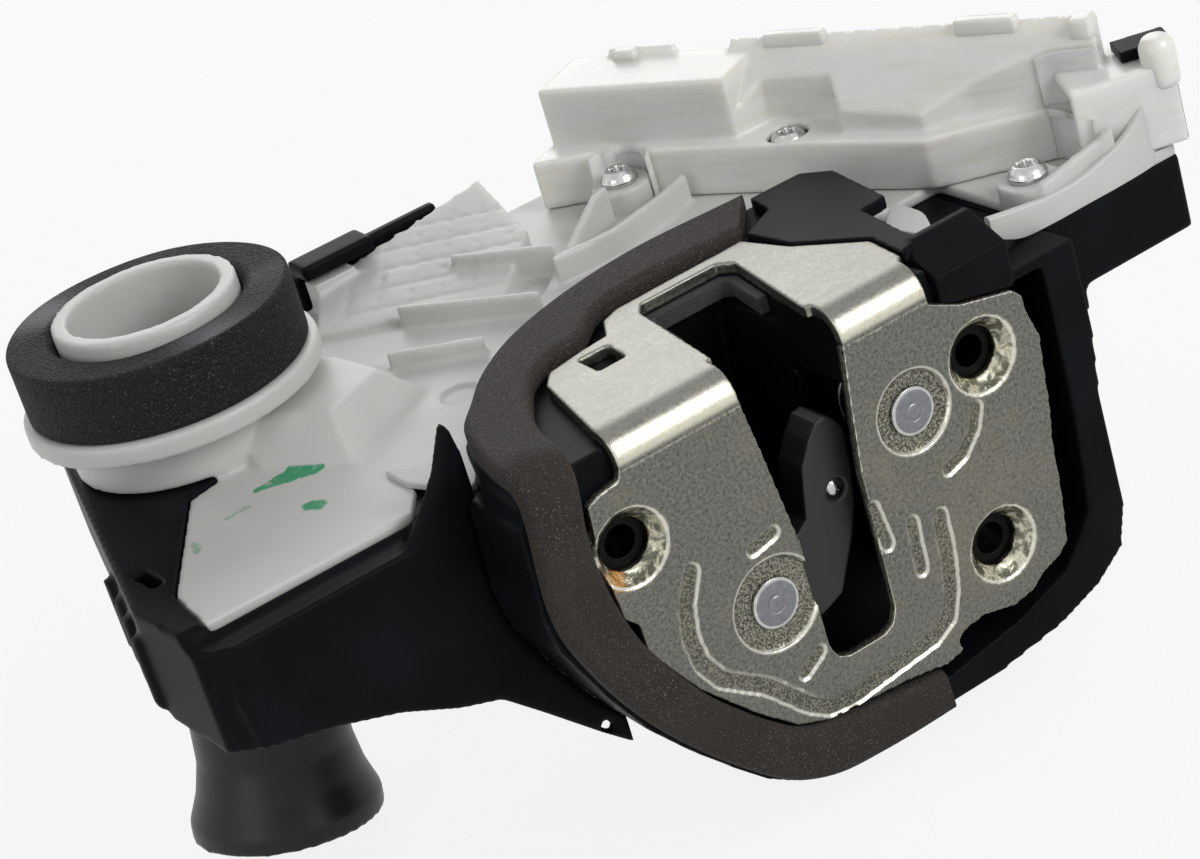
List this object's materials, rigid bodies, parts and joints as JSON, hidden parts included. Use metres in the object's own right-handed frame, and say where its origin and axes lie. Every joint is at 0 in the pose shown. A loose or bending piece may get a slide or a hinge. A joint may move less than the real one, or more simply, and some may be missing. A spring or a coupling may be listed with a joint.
{
  "type": "door latch actuator",
  "caption": "Side-door latch actuator: folded steel striker plate with fork bolt and pawl, black case with white cover, foam seals, access tube, key funnel and a geared motor lock drive.",
  "frame": {"origin": "centre of the upper right screw hole, on the striker plate's outer face", "axes": "+X along the plate's fold, -Y out of the striker plate's outer face, +Z inboard, the way the striker leaves the slot"},
  "size_m": [0.1851, 0.1088, 0.0966],
  "materials": {
    "zinc_steel": "mottled zinc plating",
    "dark_steel": "hardened steel, oiled",
    "bright_steel": "bright zinc plating",
    "spring_steel": "drawn wire",
    "black_plastic": "satin moulded nylon",
    "grey_plastic": "moulded nylon",
    "white_plastic": "smooth moulded acetal",
    "milky_plastic": "milky translucent polypropylene",
    "ivory_plastic": "moulded acetal",
    "strip_foam": "closed-cell foam, satin",
    "ring_foam": "open-cell foam with a smooth skin",
    "grey_pad": "textured pad",
    "black_rubber": "moulded rubber",
    "brass": "plain",
    "board": "contact carrier"
  },
  "bodies": {
    "housing": {"striker_plate": "zinc_steel", "screw_nuts": "zinc_steel", "mechanism_frame": "zinc_steel", "latch_body": "black_plastic", "slot_pad": "grey_pad", "slot_bumper": "black_rubber", "fork_rivet": "bright_steel", "fork_spring": "spring_steel", "pawl_rivet": "bright_steel", "pawl_spring": "spring_steel", "latch_foam": "strip_foam", "top_cap": "black_plastic", "outside_lever_pin": "bright_steel", "case_base": "black_plastic", "key_funnel": "black_plastic", "case_cover": "white_plastic", "ring_foam": "ring_foam", "gear_cover": "milky_plastic", "motor": "bright_steel", "wheel_pin": "bright_steel", "lever_shaft": "bright_steel", "inside_lever_spring": "spring_steel", "contact_board": "board", "switches": "black_plastic", "connector_shell": "black_plastic", "connector_pins": "brass", "case_screws": "bright_steel"},
    "fork": {"fork_core": "dark_steel", "fork_cover": "black_plastic"},
    "pawl": {"pawl": "dark_steel", "pawl_lifter": "grey_plastic"},
    "outside_lever": {"outside_lever": "grey_plastic"},
    "inside_lever": {"inside_lever": "zinc_steel"},
    "lock_lever": {"lock_lever": "grey_plastic"},
    "wheel": {"worm_wheel": "ivory_plastic"},
    "worm": {"worm_shaft": "brass"},
    "key_rotor": {"key_rotor": "grey_plastic"}
  },
  "joints": [
    {"name": "fork_turn", "type": "hinge", "parent": "housing", "child": "fork", "pos_m": [-0.0452, 0.0078, -0.0195], "axis": [0, 1, 0], "range_deg": [0, 85], "stiffness_Nm_per_rad": 0.1, "springref_deg": -17.19},
    {"name": "pawl_turn", "type": "hinge", "parent": "housing", "child": "pawl", "pos_m": [-0.0141, 0.0078, -0.0025], "axis": [0, 1, 0], "range_deg": [0, 9]},
    {"name": "outside_lever_turn", "type": "hinge", "parent": "housing", "child": "outside_lever", "pos_m": [0.01, 0.0217, -0.014], "axis": [0, 1, 0], "range_deg": [0, 14], "stiffness_Nm_per_rad": 0.1, "springref_deg": -17.19},
    {"name": "inside_lever_turn", "type": "hinge", "parent": "housing", "child": "inside_lever", "pos_m": [-0.02837, 0.05802, 0.0043], "axis": [0, 0, -1], "range_deg": [0, 30], "stiffness_Nm_per_rad": 0.1, "springref_deg": -17.19},
    {"name": "worm_spin", "type": "hinge", "parent": "housing", "child": "worm", "pos_m": [0.00212, 0.08696, 0.0044], "axis": [0.4848, -0.8746, 0], "range_deg": [0, 3456]},
    {"name": "wheel_turn", "type": "hinge", "parent": "housing", "child": "wheel", "pos_m": [-0.00411, 0.06407, 0.0044], "axis": [0, 0, -1], "range_deg": [-144.1, 0]},
    {"name": "lock_lever_turn", "type": "hinge", "parent": "housing", "child": "lock_lever", "pos_m": [-0.02837, 0.05802, -0.0017], "axis": [0, 0, -1], "range_deg": [0, 36.1]},
    {"name": "key_rotor_turn", "type": "hinge", "parent": "housing", "child": "key_rotor", "pos_m": [-0.0948, 0.081, -0.008], "axis": [0.1896, 0.1132, 0.9753], "range_deg": [-60, 60]}
  ],
  "couplings": [
    {"joint": "wheel_turn", "follows": "worm_spin", "ratio": -0.041667},
    {"joint": "lock_lever_turn", "follows": "worm_spin", "ratio": 0.010417}
  ]
}
